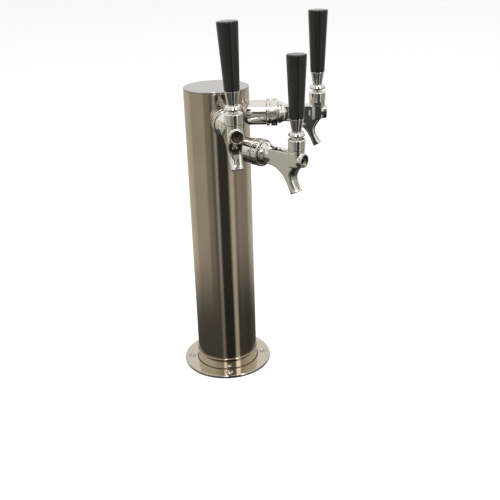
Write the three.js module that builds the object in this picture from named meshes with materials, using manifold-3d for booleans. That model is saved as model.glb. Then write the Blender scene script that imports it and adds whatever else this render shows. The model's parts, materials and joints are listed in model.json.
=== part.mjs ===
// Beer tap tower: a steel column on a screwed-down flange, with three beer faucets on shanks.
// Millimetres, +Z up. The column stands on the worktop plane z = 0 with its axis on Z, and the
// middle tap points along -Y. Each tap is made once in a frame of its own, where X runs outward
// along the shank's axis and Z is up, and is then placed three times. The left faucet is
// screwed on with a slight roll about its shank, as its coupling nut allows.

import * as THREE from "three";
import { mergeVertices } from "three/addons/utils/BufferGeometryUtils.js";
import Module from "manifold-3d";

const wasm = await Module();
wasm.setup();

// ---------------------------------------------------------------- driving dimensions

const GAP = 0.3; // clearance kept between pieces that touch on the real object
const EDGE = 0.5; // small chamfer on turned edges
const PAST = 4; // how far a cutter runs past the surface that it cuts

const TOWER = { height: 361, radius: 38.1, wall: 1.5 };
const GASKET = { radius: 55.6, thickness: 1.2 };
const FLANGE = { radius: 56.4, thickness: 2.5, hole: 35, neckRadius: 39.7, neckTop: 18 };
const SCREW = { circle: 47.5, count: 4, shankRadius: 2.2, headRadius: 4.3, headRise: 1.0 };
const SCREW_HOLE = { clearance: 0.42, sinkClearance: 0.54 };
const SCREW_DRIVE = { reach: 2.4, depth: 1.2 };
const SCREW_CROWN = [[1, 0], [0.75, 0.6], [0.4, 1], [0, 1]]; // parts of the radius and the rise
const CAP = { rim: 2.2, top: 3.7, spigotWall: 1.4, spigotDepth: 8 };
const SLEEVE_FOAM = { inner: 30.5, bottom: 6, top: 266 };

const TAP_SPREAD = 38; // degrees between neighbouring taps
const TAPS = [
  { side: "left", turn: -TAP_SPREAD, height: 332, roll: 2 },
  { side: "middle", turn: 0, height: 293, roll: 0 },
  { side: "right", turn: TAP_SPREAD, height: 329.5, roll: 0 },
];
const FRONT = -90; // degrees, the direction of the middle tap

// Stations along the shank's axis, measured from the column's axis.
const STEM_END = 24;
const NUT_START = 24.9;
const NUT_END = 30.7;
const COLLAR_START = 58;
const COLLAR_END = 61.6;
const COUPLING_START = 63.2;
const THREAD_END = 65.3;
const TAIL_START = 66.9;
const TAIL_SHOULDER = 68.5;
const COUPLING_END = 70.6;
const PLATE_START = 74.5;
const SEAT = 86;
const SEAT_LENGTH = 3.5;
const BOSS_START = 108;
const LEVER_AXIS = 116.5;
const BOSS_END = 127.5;

// Radii about the shank's axis.
const STEM_RADIUS = 11.1;
const SHANK_BORE = 4;
const SLEEVE_RADIUS = 14.3;
const COLLAR_RADIUS = 15.6;
const THREAD_RADIUS = 13.4;
const COUPLING_RADIUS = 15.7;
const COUPLING_LIP = 12.4;
const CHAMBER_RADIUS = 7;
const SEAT_RADIUS = 4.6;
const VALVE_BORE = 6.1;
const BOSS_RADIUS = 7.6;
const GASKET_BORE = 8.5;
const SEAT_WASHER_RADIUS = 6.2;

// The elbow inside the column.
const ELBOW = { radius: 4.5, bore: 3.2, socket: 4.9, depth: 5, leg: 13, bend: 7, drop: 26 };
const BARB = { radius: 5.3, length: 6 };

// The faucet's lever stack. Heights are above the shank's axis.
const PIVOT = 17.5;
const BALL = 5.2;
const FINGER = { radius: 1.8, tip: 2.2 };
const LEVER_NECK = 3;
const LEVER_STUD = { radius: 4.4, bottom: 26.7, top: 42.1 };
const BODY_TOP = 11.2;
const UPRIGHT_BOTTOM = -6;
const SPIGOT = { outer: 6.9, inner: 5.9, floor: 13, top: 15.5 };
const BALL_SEAT = { height: 1.4, lowBore: 4.2, highBore: 4.9 };
const BALL_WASHER = { height: 1.7, lowBore: 5.5, highBore: 4.75 };
const BONNET = { foot: 9.35, radius: 9.8, crown: 8.7, shoulder: 22.3, top: 23.2 };
const BONNET_BORE = { radius: 7.2, roof: 20.6, hole: 4.8, mouth: 5.6 };
const COLLAR = { radius: 9.35, base: 7.7, skirt: 25.8, waist: 26.9, band: 28, top: 31.3 };
const COLLAR_BORE = { radius: 4.7, recess: 26.6 };
const FERRULE = { bottom: 31.6, top: 45.5, lowRadius: 5.3, highRadius: 7.75, insert: 4.3 };
const HANDLE = { bottom: 45.8, top: 113, rim: 2.5, lowRadius: 8, highRadius: 11 };
const INSERT_DEPTH = 10.5;

// The faucet body's plate and its spout.
const PLATE = { top: 8, half: 8, tipHalf: 6.7, taperFrom: -12, taperTo: -38, bottom: -9 };
const SPOUT = { radius: 6.7, bore: 4.2 };

// Lines of the body in the plane of the lever, as [X, Z]: the plate's hollow front and curved
// rear edge, the spout's centre, and its passage up to the valve bore.
const PLATE_FRONT = [[117.6, -5.7], [112.2, -11.5], [111.6, -18], [114.6, -27], [118.5, -36.8]];
const PLATE_TIP = [112.4, -39.7];
const PLATE_REAR = [[106.8, -28.7], [101.6, -19.7], [95.7, -14], [88.8, -10.6],
  [PLATE_START, PLATE.bottom]];
const UPRIGHT = { rear: 110.5, front: 121.5, frontBottom: 4 };
const SPOUT_LINE = [[110.5, -8], [107.9, -15], [108.2, -21.5], [111, -29.6], [115.8, -38.1]];
const PASSAGE_LINE = [[100.5, -2], [104.8, -11], [108.8, -19.5], [110.9, -26.5], [113.5, -31.9],
  [117, -37.5], [119.2, -42.1]];

// The tail behind the coupling nut swells and then sinks into the plate, as [radius, X].
const TAIL_SWELL = [[13.1, 72.4], [12.6, 74], [11.3, 76], [10, 78], [8.9, 80], [8.1, 82],
  [7.8, 84], [0, 84]];

// The slot in the body for the lever's finger, measured from the lever's axis.
const LEVER_SLOT = { rear: 6.6, highRear: 5, front: 2.6, half: 2.8, floor: 4, step: 9.5 };

// The plunger.
const PLUNGER = { start: 80, head: 83.2, land: 110, end: 124.6, stem: 3, radius: 5.8 };
const SLOT = { half: 2.6, floor: -3, reliefFloor: 1.2, reliefHalf: 4.7 };
const PLUNGER_HOLLOW = { radius: 3.2, depth: 5 };

const FINE = 48; // segments round the column
const WIDE = 32; // segments round the flange and the cap
const MEDIUM = 16; // segments round the visible turned pieces
const COARSE = 12; // segments round the small inner pieces
const OCTAGON = 8; // sides of the elbow and of the spout's passage

// ---------------------------------------------------------------- materials

function material(colour, roughness, metalness) {
  return new THREE.MeshStandardMaterial({ color: colour, roughness, metalness });
}

const polishedSteel = material(0xb5b0a6, 0.24, 1);
const brightSteel = material(0xd8d2c6, 0.16, 1);
const chrome = material(0xdcdad6, 0.06, 1);
const plainSteel = material(0x9a9a98, 0.4, 1);
const brass = material(0xb08a4a, 0.3, 1);
const blackPlastic = material(0x161616, 0.22, 0);
const blackRubber = material(0x141414, 0.7, 0);
const whiteNylon = material(0xe4e0d6, 0.5, 0);
const greyFoam = material(0x4a4a4a, 0.95, 0);

// ---------------------------------------------------------------- shape helpers

// A surface of revolution about Z. The profile is a list of [radius, height]; it closes on
// itself unless it starts on the axis.
function turned(profile, segments) {
  const loop = profile[0][0] === 0 ? profile : [...profile, profile[0]];
  const points = loop.map(([radius, height]) => new THREE.Vector2(radius, height));
  return new THREE.LatheGeometry(points, segments).rotateX(Math.PI / 2);
}

// Turns a shape made along Z so that it lies along X.
function alongX(geometry) {
  return geometry.rotateY(Math.PI / 2);
}

// A closed cylinder along Z between two heights.
function rod(radius, from, to, segments) {
  return turned([[0, from], [radius, from], [radius, to], [0, to]], segments);
}

function ring(inner, outer, from, to, segments) {
  return turned([[inner, from], [outer, from], [outer, to], [inner, to]], segments);
}

// A box between two corners.
function block([x0, y0, z0], [x1, y1, z1]) {
  const box = new THREE.BoxGeometry(x1 - x0, y1 - y0, z1 - z0);
  return box.translate((x0 + x1) / 2, (y0 + y1) / 2, (z0 + z1) / 2);
}

function disc(radius) {
  return new THREE.Shape().absarc(0, 0, radius, 0, 2 * Math.PI, false);
}

// Sweeps a round section, with a bore if one is given, along a path in the XZ plane. A full
// circle gets two sides for each curve segment.
function swept(points, radius, bore, sides, steps) {
  const path = new THREE.CatmullRomCurve3(points.map(([x, z]) => new THREE.Vector3(x, 0, z)));
  const section = disc(radius);
  if (bore > 0) {
    section.holes.push(disc(bore));
  }
  const options = { steps, curveSegments: sides / 2, extrudePath: path, bevelEnabled: false };
  return new THREE.ExtrudeGeometry(section, options);
}

// Six times the signed volume of the tetrahedron from the origin to one triangle.
function tetrahedron(positions, a, b, c) {
  const corner = (i) => new THREE.Vector3().fromBufferAttribute(positions, i);
  return corner(a).dot(corner(b).cross(corner(c)));
}

// Makes a manifold-3d solid of a closed geometry, with its faces turned outward.
function solid(geometry) {
  geometry.deleteAttribute("normal");
  geometry.deleteAttribute("uv");
  const merged = mergeVertices(geometry);
  const corners = merged.index.array;
  const positions = merged.attributes.position;
  const triangles = [];
  let volume = 0;
  for (let i = 0; i < corners.length; i += 3) {
    const [a, b, c] = [corners[i], corners[i + 1], corners[i + 2]];
    if (a !== b && b !== c && c !== a) {
      triangles.push([a, b, c]);
      volume += tetrahedron(positions, a, b, c);
    }
  }
  if (volume < 0) {
    triangles.forEach((triangle) => triangle.reverse());
  }
  const vertProperties = new Float32Array(positions.array);
  const triVerts = new Uint32Array(triangles.flat());
  return new wasm.Manifold(new wasm.Mesh({ numProp: 3, vertProperties, triVerts }));
}

function joined(first, ...others) {
  return others.reduce((whole, other) => whole.add(solid(other)), solid(first));
}

function cut(shape, cutters) {
  return cutters.reduce((rest, cutter) => rest.subtract(solid(cutter)), shape);
}

// A mesh of a geometry or of a manifold-3d solid.
function piece(name, shape, look) {
  const whole = shape.isBufferGeometry ? solid(shape) : shape;
  const { vertProperties, triVerts } = whole.getMesh();
  const geometry = new THREE.BufferGeometry();
  geometry.setAttribute("position", new THREE.BufferAttribute(vertProperties, 3));
  geometry.setIndex(new THREE.BufferAttribute(triVerts, 1));
  geometry.computeVertexNormals();
  const mesh = new THREE.Mesh(geometry, look);
  mesh.name = name;
  return mesh;
}

const radians = THREE.MathUtils.degToRad;

// ---------------------------------------------------------------- base and column

const FLANGE_BOTTOM = GASKET.thickness + GAP;
const FLANGE_TOP = FLANGE_BOTTOM + FLANGE.thickness;
const COLUMN_BOTTOM = FLANGE_TOP + GAP;
const COLUMN_TOP = TOWER.height - CAP.rim - GAP;
const COLUMN_INNER = TOWER.radius - TOWER.wall;

// The four places on the screw circle, midway between the X and Y axes.
function screwPlaces() {
  const step = (2 * Math.PI) / SCREW.count;
  return Array.from({ length: SCREW.count }, (_, i) => {
    const angle = step * (i + 0.5);
    return [SCREW.circle * Math.cos(angle), SCREW.circle * Math.sin(angle)];
  });
}

function screwHoles(profile) {
  return screwPlaces().map(([x, y]) => turned(profile, COARSE).translate(x, y, 0));
}

function baseGasket() {
  const plain = ring(FLANGE.hole, GASKET.radius, 0, GASKET.thickness, WIDE);
  const hole = SCREW.shankRadius + GAP;
  return cut(solid(plain), screwHoles([[0, -PAST], [hole, -PAST], [hole, PAST], [0, PAST]]));
}

// A flat ring with a neck that the column stands in, on a ledge inside it.
function baseFlange() {
  const neckInner = TOWER.radius + GAP;
  const plain = turned([
    [FLANGE.hole, FLANGE_BOTTOM],
    [FLANGE.radius - EDGE, FLANGE_BOTTOM],
    [FLANGE.radius, FLANGE_BOTTOM + EDGE],
    [FLANGE.radius, FLANGE_TOP - EDGE],
    [FLANGE.radius - EDGE, FLANGE_TOP],
    [FLANGE.neckRadius + 2 * EDGE, FLANGE_TOP],
    [FLANGE.neckRadius, FLANGE_TOP + 2 * EDGE],
    [FLANGE.neckRadius, FLANGE.neckTop - EDGE],
    [FLANGE.neckRadius - EDGE, FLANGE.neckTop],
    [neckInner, FLANGE.neckTop],
    [neckInner, FLANGE_TOP],
    [FLANGE.hole, FLANGE_TOP],
  ], WIDE);
  const hole = SCREW.shankRadius + SCREW_HOLE.clearance;
  const sink = SCREW.headRadius + SCREW_HOLE.sinkClearance;
  const sinkBottom = FLANGE_TOP - (sink - hole);
  const profile = [[0, -PAST], [hole, -PAST], [hole, sinkBottom], [sink, FLANGE_TOP],
    [sink, FLANGE_TOP + PAST], [0, FLANGE_TOP + PAST]];
  return cut(solid(plain), screwHoles(profile));
}

// A raised countersunk screw with a cross recess. Its tip ends at the worktop plane.
function flangeScrew() {
  const headBottom = FLANGE_TOP - (SCREW.headRadius - SCREW.shankRadius);
  const crown = FLANGE_TOP + SCREW.headRise;
  const plain = turned([
    [0, GAP],
    [SCREW.shankRadius, GAP],
    [SCREW.shankRadius, headBottom],
    ...SCREW_CROWN.map(([reach, rise]) =>
      [SCREW.headRadius * reach, FLANGE_TOP + SCREW.headRise * rise]),
  ], COARSE);
  const { reach, depth } = SCREW_DRIVE;
  const bottom = crown - depth;
  const bar = block([-reach, -EDGE, bottom], [reach, EDGE, crown + PAST]);
  const crossBar = block([-EDGE, -reach, bottom], [EDGE, reach, crown + PAST]);
  return cut(solid(plain), [bar, crossBar]);
}

function tapDirection({ turn }) {
  return radians(FRONT + turn);
}

function column() {
  const tube = ring(COLUMN_INNER, TOWER.radius, COLUMN_BOTTOM, COLUMN_TOP, FINE);
  const holes = TAPS.map((tap) => {
    const hole = alongX(rod(STEM_RADIUS + GAP, STEM_END, TOWER.radius + PAST, MEDIUM));
    return hole.rotateZ(tapDirection(tap)).translate(0, 0, tap.height);
  });
  return cut(solid(tube), holes);
}

// A flat lid with a rounded rim that carries on the column's surface, and a spigot inside it.
function topCap() {
  const spigot = COLUMN_INNER - GAP;
  const seat = COLUMN_TOP + GAP;
  return turned([
    [0, TOWER.height - CAP.top],
    [spigot - CAP.spigotWall, TOWER.height - CAP.top],
    [spigot - CAP.spigotWall, COLUMN_TOP - CAP.spigotDepth],
    [spigot, COLUMN_TOP - CAP.spigotDepth],
    [spigot, seat],
    [TOWER.radius, seat],
    [TOWER.radius, TOWER.height - 2 * EDGE],
    [TOWER.radius - EDGE, TOWER.height - 0.5 * EDGE],
    [TOWER.radius - 2 * EDGE, TOWER.height],
    [0, TOWER.height],
  ], WIDE);
}

function insulationSleeve() {
  const outer = COLUMN_INNER - GAP;
  return ring(SLEEVE_FOAM.inner, outer, SLEEVE_FOAM.bottom, SLEEVE_FOAM.top, MEDIUM);
}

// ---------------------------------------------------------------- shank, in the tap's frame

// An upright cylinder on the column's axis, for the saddle cuts.
function columnCutter(radius) {
  return rod(radius, -2 * COUPLING_RADIUS, 2 * COUPLING_RADIUS, FINE);
}

// The tube between the column and the shank's collar, its inner end shaped to the column.
function shankSleeve() {
  const bore = STEM_RADIUS + GAP;
  const start = TOWER.radius - PAST;
  const end = COLLAR_START - GAP;
  const tube = alongX(turned([[bore, start], [SLEEVE_RADIUS, start],
    [SLEEVE_RADIUS, end - EDGE], [SLEEVE_RADIUS - EDGE, end], [bore, end]], MEDIUM));
  return cut(solid(tube), [columnCutter(TOWER.radius + GAP)]);
}

// The threaded tube through the column's wall, with its collar and the thread for the coupling.
function shank() {
  return alongX(turned([
    [ELBOW.socket, STEM_END],
    [STEM_RADIUS - EDGE, STEM_END],
    [STEM_RADIUS, STEM_END + EDGE],
    [STEM_RADIUS, COLLAR_START],
    [COLLAR_RADIUS - EDGE, COLLAR_START],
    [COLLAR_RADIUS, COLLAR_START + EDGE],
    [COLLAR_RADIUS, COLLAR_END - EDGE],
    [COLLAR_RADIUS - EDGE, COLLAR_END],
    [THREAD_RADIUS, COLLAR_END],
    [THREAD_RADIUS, THREAD_END],
    [SHANK_BORE, THREAD_END],
    [SHANK_BORE, STEM_END + ELBOW.depth + GAP],
    [ELBOW.socket, STEM_END + ELBOW.depth + GAP],
  ], MEDIUM));
}

// A washer with one flat face for the nut and one face shaped to the column's inner wall.
function saddleWasher() {
  const plain = alongX(ring(STEM_RADIUS + GAP, SLEEVE_RADIUS, NUT_END + GAP, TOWER.radius, MEDIUM));
  return solid(plain).intersect(solid(columnCutter(COLUMN_INNER - GAP)));
}

function shankNut() {
  const corners = 6;
  const outline = new THREE.Shape();
  const points = Array.from({ length: corners }, (_, i) => {
    const angle = (2 * Math.PI * i) / corners;
    return new THREE.Vector2(COLLAR_RADIUS * Math.cos(angle), COLLAR_RADIUS * Math.sin(angle));
  });
  outline.setFromPoints(points);
  outline.holes.push(disc(STEM_RADIUS + GAP));
  const options = { depth: NUT_END - NUT_START, curveSegments: MEDIUM / 2, bevelEnabled: false };
  return alongX(new THREE.ExtrudeGeometry(outline, options).translate(0, 0, NUT_START));
}

// The bent tail pressed into the shank's inner end, with a hose barb at its lower end.
function tailElbow() {
  const socketEnd = STEM_END + ELBOW.depth;
  const bendStart = ELBOW.leg + ELBOW.bend;
  const diagonal = ELBOW.bend * (1 - Math.SQRT1_2);
  const route = [[socketEnd, 0], [(socketEnd + bendStart) / 2, 0], [bendStart, 0],
    [ELBOW.leg + diagonal, -diagonal], [ELBOW.leg, -ELBOW.bend],
    [ELBOW.leg, -(ELBOW.bend + ELBOW.drop) / 2], [ELBOW.leg, -ELBOW.drop]];
  const tube = swept(route, ELBOW.radius, ELBOW.bore, OCTAGON, 9);
  const barb = turned([[ELBOW.radius - EDGE, -ELBOW.drop + EDGE],
    [BARB.radius, BARB.length - ELBOW.drop], [ELBOW.radius - EDGE, BARB.length - ELBOW.drop]],
  COARSE).translate(ELBOW.leg, 0, 0);
  return joined(tube, barb);
}

// The nut that draws the faucet's tail on to the shank. Its lip bears on the tail's shoulder.
function couplingNut() {
  const start = COUPLING_START;
  const thread = THREAD_RADIUS + GAP;
  const lip = TAIL_SHOULDER + GAP;
  return alongX(turned([
    [thread, start],
    [COUPLING_RADIUS - EDGE, start],
    [COUPLING_RADIUS, start + EDGE],
    [COUPLING_RADIUS, COUPLING_END - EDGE],
    [COUPLING_RADIUS - EDGE, COUPLING_END],
    [COUPLING_LIP, COUPLING_END],
    [COUPLING_LIP, lip],
    [thread, lip],
  ], MEDIUM));
}

function couplingGasket() {
  const outer = THREAD_RADIUS - GAP;
  return alongX(ring(GASKET_BORE, outer, THREAD_END + GAP, TAIL_START - GAP, COARSE));
}

// ---------------------------------------------------------------- faucet, in the tap's frame

// The flat-sided Y of the body, seen from the side: a straight top, an upright under the
// bonnet, a hollow front and a curved back that both run down into the spout.
function plateOutline() {
  const through = (line) => line.map(([x, z]) => new THREE.Vector2(x, z));
  const outline = new THREE.Shape();
  outline.moveTo(PLATE_START, PLATE.bottom);
  outline.lineTo(PLATE_START, PLATE.top);
  outline.lineTo(UPRIGHT.rear, PLATE.top);
  outline.lineTo(UPRIGHT.rear, BODY_TOP);
  outline.lineTo(UPRIGHT.front, BODY_TOP);
  outline.lineTo(UPRIGHT.front, UPRIGHT.frontBottom);
  outline.splineThru(through(PLATE_FRONT));
  outline.lineTo(...PLATE_TIP);
  outline.splineThru(through(PLATE_REAR));
  return outline;
}

// The plate is made 1 mm to each side of its middle, then widened to the body's half thickness,
// which is less at the spout's tip than at the valve.
function bodyPlate() {
  const options = { depth: 2, curveSegments: 2, bevelEnabled: false };
  const plate = new THREE.ExtrudeGeometry(plateOutline(), options);
  plate.translate(0, 0, -options.depth / 2).rotateX(Math.PI / 2);
  const positions = plate.attributes.position;
  for (let i = 0; i < positions.count; i += 1) {
    const { mapLinear, clamp } = THREE.MathUtils;
    const width = mapLinear(positions.getZ(i), PLATE.taperFrom, PLATE.taperTo, PLATE.half,
      PLATE.tipHalf);
    positions.setY(i, positions.getY(i) * clamp(width, PLATE.tipHalf, PLATE.half));
  }
  return plate;
}

// The round tail with its shoulder, swelling behind the coupling nut and sinking into the plate.
function bodyTail() {
  return alongX(turned([
    [0, TAIL_START],
    [COUPLING_LIP + 3 * GAP, TAIL_START],
    [COUPLING_LIP + 3 * GAP, TAIL_SHOULDER],
    [COUPLING_LIP - GAP, TAIL_SHOULDER],
    [COUPLING_LIP - GAP, COUPLING_END + EDGE],
    ...TAIL_SWELL,
  ], MEDIUM));
}

// The body with its valve chamber, seat, plunger bore, lever slot and spout passage.
function faucetBody() {
  const upright = rod(BONNET.foot - GAP, UPRIGHT_BOTTOM, BODY_TOP, MEDIUM);
  const spigot = rod(SPIGOT.outer, 0, SPIGOT.top, MEDIUM);
  upright.translate(LEVER_AXIS, 0, 0);
  spigot.translate(LEVER_AXIS, 0, 0);
  const boss = alongX(turned([[0, BOSS_START], [BOSS_RADIUS, BOSS_START],
    [BOSS_RADIUS, BOSS_END - EDGE], [BOSS_RADIUS - EDGE, BOSS_END], [0, BOSS_END]], MEDIUM));
  const spout = swept(SPOUT_LINE, SPOUT.radius, 0, COARSE, 6);
  const whole = joined(bodyPlate(), bodyTail(), upright, spigot, boss, spout);
  const seatEnd = SEAT + SEAT_LENGTH;
  const chamber = alongX(rod(CHAMBER_RADIUS, TAIL_START - PAST, SEAT, COARSE));
  const seatHole = alongX(rod(SEAT_RADIUS, SEAT - EDGE, seatEnd + EDGE, COARSE));
  const valveBore = alongX(rod(VALVE_BORE, seatEnd, BOSS_END + PAST, COARSE));
  const socket = rod(SPIGOT.inner, SPIGOT.floor, SPIGOT.top + PAST, COARSE);
  socket.translate(LEVER_AXIS, 0, 0);
  const { rear, highRear, front, half, floor, step } = LEVER_SLOT;
  const slotFront = LEVER_AXIS + front;
  const lowSlot = block([LEVER_AXIS - rear, -half, floor], [slotFront, half, step]);
  const highSlot = block([LEVER_AXIS - highRear, -half, step - EDGE],
    [slotFront, half, SPIGOT.floor + EDGE]);
  const passage = swept(PASSAGE_LINE, SPOUT.bore, 0, OCTAGON, 8);
  return cut(whole, [chamber, seatHole, valveBore, socket, lowSlot, highSlot, passage]);
}

// The plunger: a head behind the seat, a thin stem, and a land with a slot for the lever and a
// blind hole in its front end.
function faucetShaft() {
  const { start, head, land, end, stem, radius } = PLUNGER;
  const plain = alongX(turned([[0, start], [radius - 2 * EDGE, start], [radius - EDGE, start + EDGE],
    [radius - EDGE, head], [stem, head], [stem, land], [radius, land], [radius, end - EDGE],
    [radius - EDGE, end], [0, end]], COARSE));
  const slot = block([LEVER_AXIS - SLOT.half, -PAST - radius, SLOT.floor],
    [LEVER_AXIS + SLOT.half, PAST + radius, PAST + radius]);
  const relief = block([LEVER_AXIS - SLOT.half, -PAST - radius, SLOT.reliefFloor],
    [LEVER_AXIS + SLOT.reliefHalf, PAST + radius, PAST + radius]);
  const { radius: hollow, depth } = PLUNGER_HOLLOW;
  const hole = alongX(rod(hollow, end - depth, end + PAST, COARSE));
  return cut(solid(plain), [slot, relief, hole]);
}

function seatWasher() {
  const start = PLUNGER.head + GAP;
  return alongX(ring(PLUNGER.stem + GAP, SEAT_WASHER_RADIUS, start, SEAT - GAP, COARSE));
}

// Points on a ball's outline between two angles above its equator, as [radius, height].
function ballArc(radius, centre, from, to, steps) {
  return Array.from({ length: steps + 1 }, (_, i) => {
    const angle = from + ((to - from) * i) / steps;
    return [radius * Math.cos(angle), centre + radius * Math.sin(angle)];
  });
}

// The lever: a finger that moves the plunger, the pivot ball, a neck and a threaded stud.
function lever() {
  const tipTop = Math.acos(FINGER.radius / FINGER.tip);
  const ballBottom = -Math.acos(FINGER.radius / BALL);
  const ballTop = Math.acos(LEVER_NECK / BALL);
  const fingertip = ballArc(FINGER.tip, 0, -Math.PI / 2, tipTop, 4).slice(1);
  return turned([
    [0, -FINGER.tip],
    ...fingertip,
    ...ballArc(BALL, PIVOT, ballBottom, ballTop, 6),
    [LEVER_NECK, LEVER_STUD.bottom],
    [LEVER_STUD.radius, LEVER_STUD.bottom],
    [LEVER_STUD.radius, LEVER_STUD.top - EDGE],
    [LEVER_STUD.radius - EDGE, LEVER_STUD.top],
    [0, LEVER_STUD.top],
  ], COARSE);
}

// The ring under the ball, inside the body's spigot.
function ballSeat() {
  const { height, lowBore, highBore } = BALL_SEAT;
  const bottom = SPIGOT.floor + GAP;
  const top = bottom + height;
  const outer = SPIGOT.inner - GAP;
  return turned([[lowBore, bottom], [outer, bottom], [outer, top], [highBore, top]], COARSE);
}

// The friction washer between the ball and the bonnet's roof.
function ballWasher() {
  const { height, lowBore, highBore } = BALL_WASHER;
  const top = BONNET_BORE.roof - GAP;
  const bottom = top - height;
  const outer = BONNET_BORE.radius - GAP;
  return turned([[lowBore, bottom], [outer, bottom], [outer, top], [highBore, top]], COARSE);
}

// The ring nut over the ball. Its hole widens upward, to let the lever tilt.
function bonnet() {
  const bottom = BODY_TOP + GAP;
  const { radius: inner, roof, hole, mouth } = BONNET_BORE;
  return turned([
    [inner, bottom],
    [BONNET.foot - EDGE, bottom],
    [BONNET.foot, bottom + EDGE],
    [BONNET.radius, BONNET.shoulder - EDGE],
    [BONNET.radius - EDGE, BONNET.shoulder],
    [BONNET.crown, BONNET.top],
    [mouth, BONNET.top],
    [hole, roof],
    [inner, roof],
  ], MEDIUM);
}

// The domed collar screwed on to the lever. It narrows downward and is hollow underneath, to
// clear the bonnet.
function leverCollar() {
  const { radius: bore, recess } = COLLAR_BORE;
  const skirtInner = COLLAR.base - 2 * EDGE;
  const neck = FERRULE.lowRadius + GAP;
  return turned([
    [bore, recess],
    [skirtInner, recess],
    [skirtInner, COLLAR.skirt],
    [COLLAR.base, COLLAR.skirt],
    [COLLAR.radius - 0.5 * EDGE, COLLAR.waist],
    [COLLAR.radius, COLLAR.waist + EDGE],
    [COLLAR.radius, COLLAR.band - 0.5 * EDGE],
    [COLLAR.radius - EDGE, COLLAR.band + 0.5 * EDGE],
    [(COLLAR.radius + neck) / 2, COLLAR.top - EDGE],
    [neck, COLLAR.top],
    [bore, COLLAR.top],
  ], MEDIUM);
}

// The metal cone under the handle, threaded on to the lever, with a plug that enters the handle.
function ferrule() {
  return turned([
    [0, LEVER_STUD.top + GAP],
    [COLLAR_BORE.radius, LEVER_STUD.top + GAP],
    [COLLAR_BORE.radius, FERRULE.bottom],
    [FERRULE.lowRadius, FERRULE.bottom],
    [FERRULE.highRadius, FERRULE.top - EDGE],
    [FERRULE.highRadius, FERRULE.top],
    [FERRULE.insert, FERRULE.top],
    [FERRULE.insert, FERRULE.top + INSERT_DEPTH],
    [0, FERRULE.top + INSERT_DEPTH],
  ], MEDIUM);
}

function handle() {
  const bore = FERRULE.insert + GAP;
  const boreTop = FERRULE.top + INSERT_DEPTH + GAP;
  return turned([
    [0, boreTop],
    [bore, boreTop],
    [bore, HANDLE.bottom],
    [HANDLE.lowRadius - EDGE, HANDLE.bottom],
    [HANDLE.lowRadius, HANDLE.bottom + EDGE],
    [HANDLE.highRadius, HANDLE.top - HANDLE.rim],
    [HANDLE.highRadius - EDGE, HANDLE.top - 2 * EDGE],
    [HANDLE.highRadius - 2.4 * EDGE, HANDLE.top - 0.5 * EDGE],
    [0, HANDLE.top],
  ], MEDIUM);
}

// ---------------------------------------------------------------- assembly

// Pieces of the shank, pieces of the faucet on the shank's axis, and pieces on the lever's axis.
const SHANK_PIECES = [
  ["shank_sleeve", shankSleeve(), chrome],
  ["shank", shank(), chrome],
  ["saddle_washer", saddleWasher(), plainSteel],
  ["shank_nut", shankNut(), brass],
  ["tail_elbow", tailElbow(), plainSteel],
  ["coupling_nut", couplingNut(), chrome],
  ["coupling_gasket", couplingGasket(), blackRubber],
];
const FAUCET_PIECES = [
  ["faucet_body", faucetBody(), chrome],
  ["faucet_shaft", faucetShaft(), brass],
  ["seat_washer", seatWasher(), blackRubber],
];
const LEVER_PIECES = [
  ["ball_seat", ballSeat(), whiteNylon],
  ["ball_washer", ballWasher(), whiteNylon],
  ["bonnet", bonnet(), chrome],
  ["lever", lever(), chrome],
  ["lever_collar", leverCollar(), chrome],
  ["ferrule", ferrule(), brightSteel],
  ["handle", handle(), blackPlastic],
];

function addPieces(group, pieces, side) {
  for (const [name, shape, look] of pieces) {
    group.add(piece(`${name}_${side}`, shape, look));
  }
}

function tapAssembly(tap) {
  const assembly = new THREE.Group();
  assembly.rotation.z = tapDirection(tap);
  assembly.position.z = tap.height;
  addPieces(assembly, SHANK_PIECES, tap.side);
  const faucet = new THREE.Group();
  faucet.rotation.x = radians(tap.roll);
  addPieces(faucet, FAUCET_PIECES, tap.side);
  const upright = new THREE.Group();
  upright.position.x = LEVER_AXIS;
  addPieces(upright, LEVER_PIECES, tap.side);
  faucet.add(upright);
  assembly.add(faucet);
  return assembly;
}

function baseAssembly() {
  const base = new THREE.Group();
  base.add(piece("base_gasket", baseGasket(), blackRubber));
  base.add(piece("base_flange", baseFlange(), brightSteel));
  base.add(piece("column", column(), polishedSteel));
  base.add(piece("top_cap", topCap(), polishedSteel));
  base.add(piece("insulation_sleeve", insulationSleeve(), greyFoam));
  screwPlaces().forEach(([x, y], i) => {
    const screw = piece(`flange_screw_${i + 1}`, flangeScrew(), plainSteel);
    screw.position.set(x, y, 0);
    base.add(screw);
  });
  return base;
}

const tower = new THREE.Group();
tower.add(baseAssembly());
TAPS.forEach((tap) => tower.add(tapAssembly(tap)));

export default tower;
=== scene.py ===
import json
import math

import bpy
import numpy as np
from mathutils import Matrix, Vector


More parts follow.
